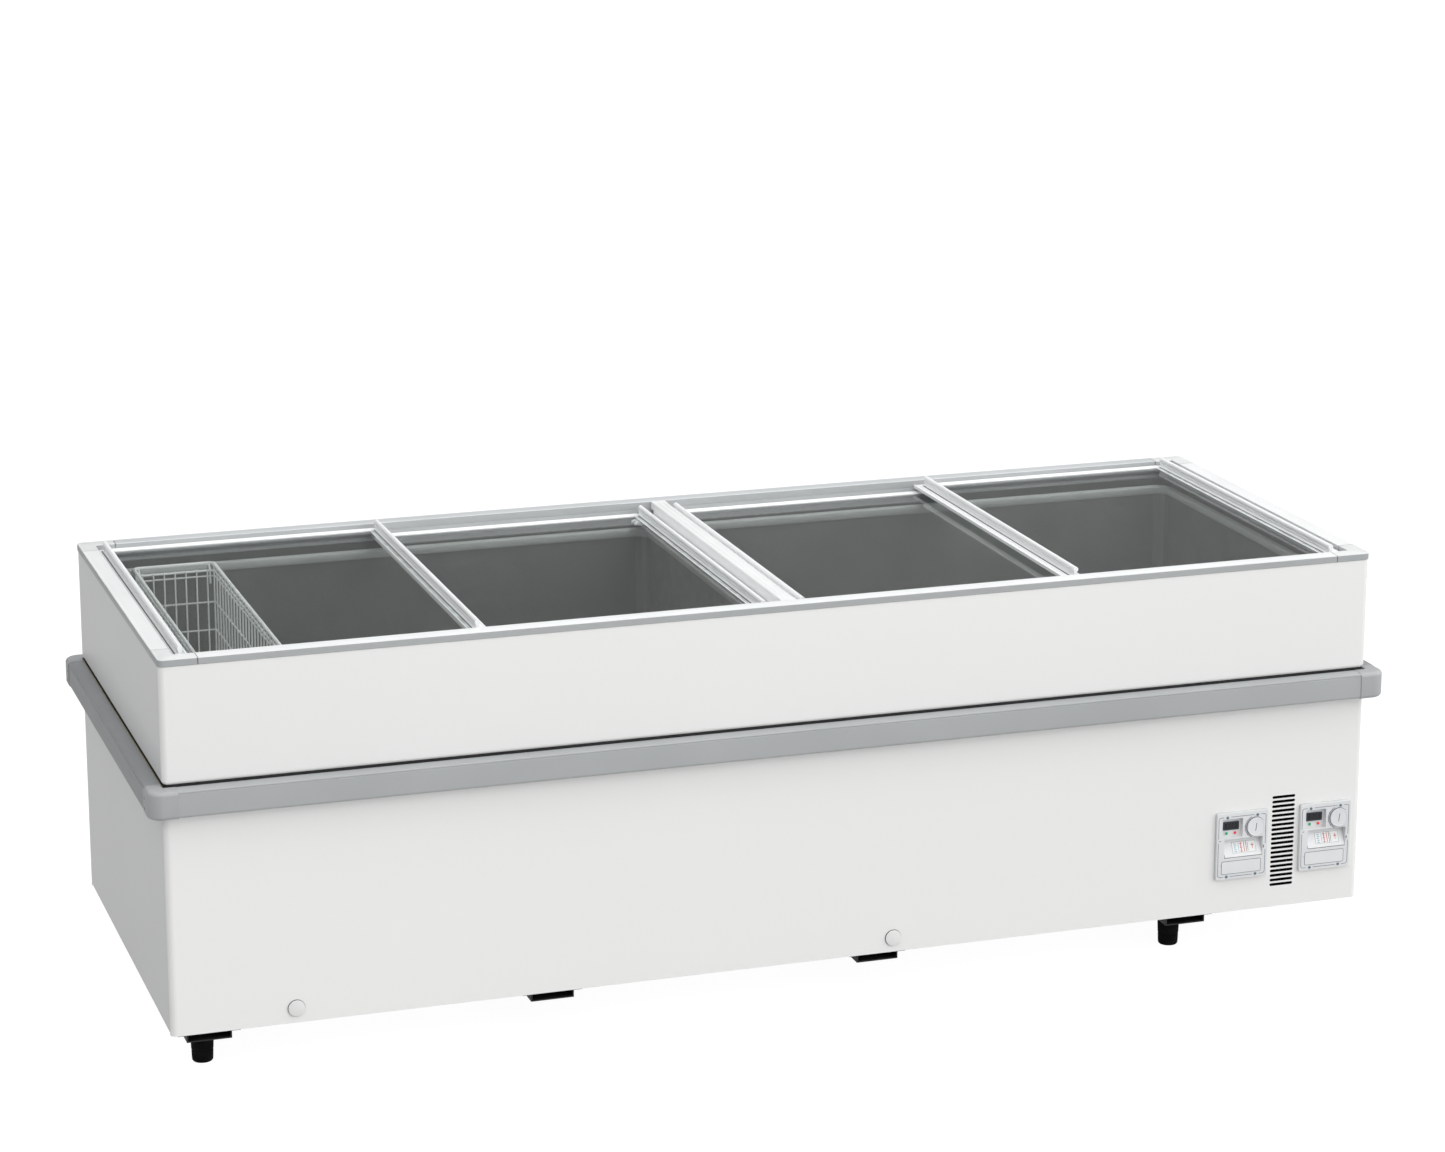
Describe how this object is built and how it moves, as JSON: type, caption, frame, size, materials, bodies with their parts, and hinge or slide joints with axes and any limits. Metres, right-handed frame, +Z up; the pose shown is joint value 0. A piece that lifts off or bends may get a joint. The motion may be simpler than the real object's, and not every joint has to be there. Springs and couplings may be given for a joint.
{
  "type": "island chest freezer",
  "caption": "Long open-plan chest freezer with two tubs under sliding glass lids, bumper rail, control panels and vent grille",
  "frame": {"origin": "on the floor under the middle of the cabinet", "axes": "+X along the length to the viewer's right, +Y from the front to the rear, +Z up"},
  "size_m": [2.566, 0.986, 0.842],
  "materials": {
    "white_paint": "smooth white enamel",
    "side_paint": "smooth pale enamel",
    "rim_plastic": "semi-gloss",
    "rim_corner": "semi-gloss",
    "bumper_plastic": "satin extrusion",
    "lid_plastic": "semi-gloss",
    "lid_glass": "clear",
    "liner_metal": "stucco embossed",
    "foam": "rigid foam",
    "copper": "bare tube",
    "galvanised": "galvanised",
    "channel_black": "satin black",
    "foot_black": "matte black",
    "control_plastic": "fine satin",
    "dial_plastic": "satin",
    "plug_plastic": "satin",
    "basket_wire": "plastic coated wire",
    "compressor_black": "satin black",
    "condenser_fins": "bare",
    "fan_plastic": "matte black"
  },
  "bodies": {
    "cabinet": {"base_pan": "galvanised", "bumper_corner_front_left": "bumper_plastic", "bumper_corner_front_right": "bumper_plastic", "bumper_corner_rear_left": "bumper_plastic", "bumper_corner_rear_right": "bumper_plastic", "bumper_front": "bumper_plastic", "bumper_left": "bumper_plastic", "bumper_rear": "bumper_plastic", "bumper_right": "bumper_plastic", "centre_crossbar": "rim_plastic", "condenser": "condenser_fins", "crossmember_1": "channel_black", "crossmember_2": "channel_black", "crossmember_3": "channel_black", "crossmember_4": "channel_black", "fan_shroud": "fan_plastic", "insulation_foam": "foam", "left_compressor": "compressor_black", "left_control_bezel": "control_plastic", "left_evaporator": "copper", "left_liner": "liner_metal", "lower_front_panel": "white_paint", "lower_left_panel": "side_paint", "lower_rear_panel": "white_paint", "lower_right_panel": "side_paint", "power_inlet": "fan_plastic", "right_compressor": "compressor_black", "right_control_bezel": "control_plastic", "right_evaporator": "copper", "right_liner": "liner_metal", "rim_corner_front_left": "rim_corner", "rim_corner_front_right": "rim_corner", "rim_corner_rear_left": "rim_corner", "rim_corner_rear_right": "rim_corner", "rim_rail_front": "rim_plastic", "rim_rail_left": "rim_plastic", "rim_rail_rear": "rim_plastic", "rim_rail_right": "rim_plastic", "upper_front_panel": "white_paint", "upper_left_panel": "side_paint", "upper_rear_panel": "white_paint", "upper_right_panel": "side_paint"},
    "lid_1": {"lid_1_frame": "lid_plastic", "lid_1_glass": "lid_glass"},
    "lid_2": {"lid_2_frame": "lid_plastic", "lid_2_glass": "lid_glass"},
    "lid_3": {"lid_3_frame": "lid_plastic", "lid_3_glass": "lid_glass"},
    "lid_4": {"lid_4_frame": "lid_plastic", "lid_4_glass": "lid_glass"},
    "left_dial": {"left_thermostat_dial": "dial_plastic"},
    "right_dial": {"right_thermostat_dial": "dial_plastic"},
    "left_plug": {"left_drain_plug": "plug_plastic"},
    "right_plug": {"right_drain_plug": "plug_plastic"},
    "foot_fl": {"foot_front_left": "foot_black"},
    "foot_fr": {"foot_front_right": "foot_black"},
    "foot_rl": {"foot_rear_left": "foot_black"},
    "foot_rr": {"foot_rear_right": "foot_black"},
    "basket": {"wire_basket": "basket_wire"},
    "fan": {"fan_rotor": "fan_plastic"}
  },
  "joints": [
    {"name": "lid_1_slide", "type": "slide", "parent": "cabinet", "child": "lid_1", "axis": [1, 0, 0], "range_m": [0, 0.55]},
    {"name": "lid_2_slide", "type": "slide", "parent": "cabinet", "child": "lid_2", "axis": [1, 0, 0], "range_m": [-0.55, 0]},
    {"name": "lid_3_slide", "type": "slide", "parent": "cabinet", "child": "lid_3", "axis": [1, 0, 0], "range_m": [0, 0.55]},
    {"name": "lid_4_slide", "type": "slide", "parent": "cabinet", "child": "lid_4", "axis": [1, 0, 0], "range_m": [-0.55, 0]},
    {"name": "left_dial_turn", "type": "hinge", "parent": "cabinet", "child": "left_dial", "pos_m": [1.008, -0.4686, 0.27], "axis": [0, -1, 0], "range_deg": [-135, 135]},
    {"name": "right_dial_turn", "type": "hinge", "parent": "cabinet", "child": "right_dial", "pos_m": [1.198, -0.4686, 0.27], "axis": [0, -1, 0], "range_deg": [-135, 135]},
    {"name": "left_plug_pull", "type": "slide", "parent": "cabinet", "child": "left_plug", "axis": [0, -1, 0], "range_m": [0, 0.03]},
    {"name": "right_plug_pull", "type": "slide", "parent": "cabinet", "child": "right_plug", "axis": [0, -1, 0], "range_m": [0, 0.03]},
    {"name": "foot_fl_turn", "type": "hinge", "parent": "cabinet", "child": "foot_fl", "pos_m": [-1.1765, -0.375, 0], "axis": [0, 0, 1], "continuous": true},
    {"name": "foot_fr_turn", "type": "hinge", "parent": "cabinet", "child": "foot_fr", "pos_m": [0.8605, -0.375, 0], "axis": [0, 0, 1], "continuous": true},
    {"name": "foot_rl_turn", "type": "hinge", "parent": "cabinet", "child": "foot_rl", "pos_m": [-1.1765, 0.375, 0], "axis": [0, 0, 1], "continuous": true},
    {"name": "foot_rr_turn", "type": "hinge", "parent": "cabinet", "child": "foot_rr", "pos_m": [0.8605, 0.375, 0], "axis": [0, 0, 1], "continuous": true},
    {"name": "basket_slide", "type": "slide", "parent": "cabinet", "child": "basket", "axis": [1, 0, 0], "range_m": [-0.02, 0.92]},
    {"name": "fan_spin", "type": "hinge", "parent": "cabinet", "child": "fan", "pos_m": [0.9, -0.058, 0.21], "axis": [0, 1, 0], "continuous": true}
  ]
}
